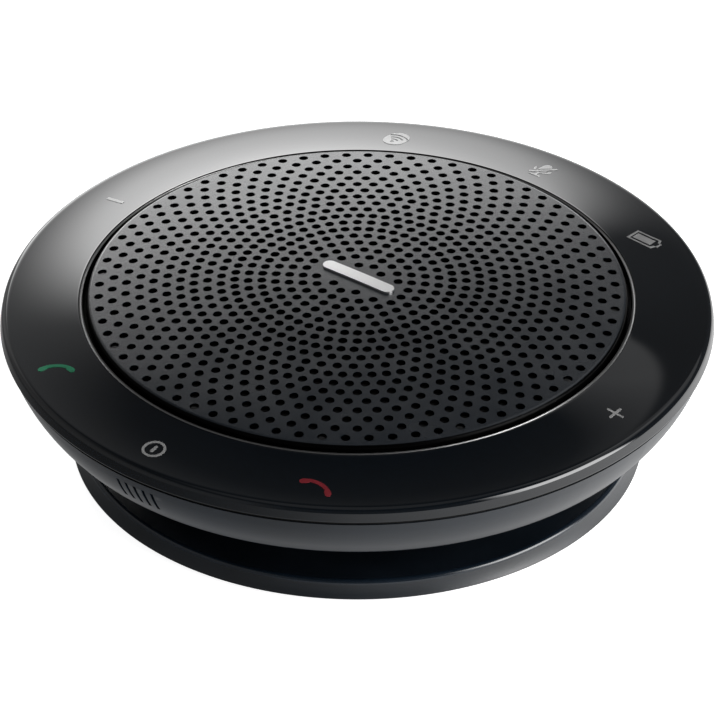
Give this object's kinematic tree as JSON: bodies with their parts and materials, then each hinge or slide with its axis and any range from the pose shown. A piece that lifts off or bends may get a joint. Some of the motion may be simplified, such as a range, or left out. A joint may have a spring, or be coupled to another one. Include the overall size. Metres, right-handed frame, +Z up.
{
  "type": "conference speakerphone",
  "caption": "Puck-shaped conference speakerphone: domed perforated speaker grille in a touch-key ring, bowl body, winding neck and round base.",
  "frame": {"origin": "centre of the rubber foot's underside, on the table", "axes": "+Z up along the loudspeaker's axis; -Y towards the power key and the microphone slots; +X towards the plus key"},
  "size_m": [0.1208, 0.1208, 0.0323],
  "materials": {
    "gloss_black": "satin-gloss black moulding with a fine scratch-resistant coat",
    "grille_black": "fine-textured dark paint on perforated sheet",
    "shell_black": "satin black moulding",
    "hub_black": "matt black moulding",
    "base_black": "fine spark-textured black moulding",
    "foot_rubber": "matt black rubber",
    "seal_rubber": "matt black rubber",
    "light_print": "matt light grey print",
    "green_print": "matt green print",
    "red_print": "matt red print",
    "silver_badge": "satin silver",
    "clear_plastic": "smoked clear moulding",
    "white_diffuser": "milky moulding",
    "acoustic_cloth": "fine black acoustic cloth",
    "foam": "soft black foam",
    "driver_steel": "black-coated pressed steel",
    "yoke_steel": "zinc-plated steel",
    "magnet_coat": "nickel-plated neodymium",
    "cone_paper": "dark treated paper",
    "spider_cloth": "amber resin-treated cloth",
    "coil_copper": "enamelled copper winding",
    "steel_screw": "zinc-plated screw steel",
    "pcb_green": "green solder mask",
    "pcb_black": "black solder mask",
    "chip_black": "moulded black epoxy",
    "tin_can": "tin-plated sheet",
    "header_white": "natural nylon",
    "flex_amber": "amber polyimide",
    "led_white": "lamp body",
    "cell_silver": "silver pouch",
    "wire_red": "insulated wire",
    "board_brown": "phenolic board",
    "socket_black": "moulded black socket"
  },
  "bodies": {
    "housing": {"foot_pad": "foot_rubber", "base_plate": "base_black", "base_screws": "steel_screw", "winding_hub": "hub_black", "cable_gland": "seal_rubber", "lower_housing": "shell_black", "housing_screws": "steel_screw", "seam_gasket": "seal_rubber", "control_ring": "gloss_black", "touch_pcb": "pcb_black", "ring_leds": "led_white", "light_pipe_ring": "clear_plastic", "light_shield": "hub_black", "key_leds": "led_white", "key_diffusers": "white_diffuser", "plus_symbol": "light_print", "minus_symbol": "light_print", "battery_symbol": "light_print", "mute_symbol": "light_print", "wireless_symbol": "light_print", "power_symbol": "light_print", "answer_symbol": "green_print", "end_symbol": "red_print", "grille": "grille_black", "grille_cloth": "acoustic_cloth", "badge": "silver_badge", "speaker_baffle": "hub_black", "speaker_basket": "driver_steel", "speaker_gasket": "foam", "speaker_screws": "steel_screw", "surround": "seal_rubber", "spider": "spider_cloth", "magnet_yoke": "yoke_steel", "magnet": "magnet_coat", "pole_piece": "yoke_steel", "terminal_board": "board_brown", "speaker_wires": "wire_red", "main_pcb": "pcb_green", "pcb_screws": "steel_screw", "main_chips": "chip_black", "shield_can": "tin_can", "connectors": "header_white", "flex_cable": "flex_amber", "antenna": "tin_can", "headset_socket": "socket_black", "mic_boot": "seal_rubber", "microphone": "tin_can", "battery": "cell_silver", "battery_pad": "foam"},
    "cone_assembly": {"cone": "cone_paper", "dust_cap": "cone_paper", "voice_coil": "coil_copper"}
  },
  "joints": [
    {"name": "cone_travel", "type": "slide", "parent": "housing", "child": "cone_assembly", "axis": [0, 0, 1], "range_m": [-0.0015, 0.0015], "stiffness_N_per_m": 1500, "deforming": ["surround", "spider"]}
  ]
}
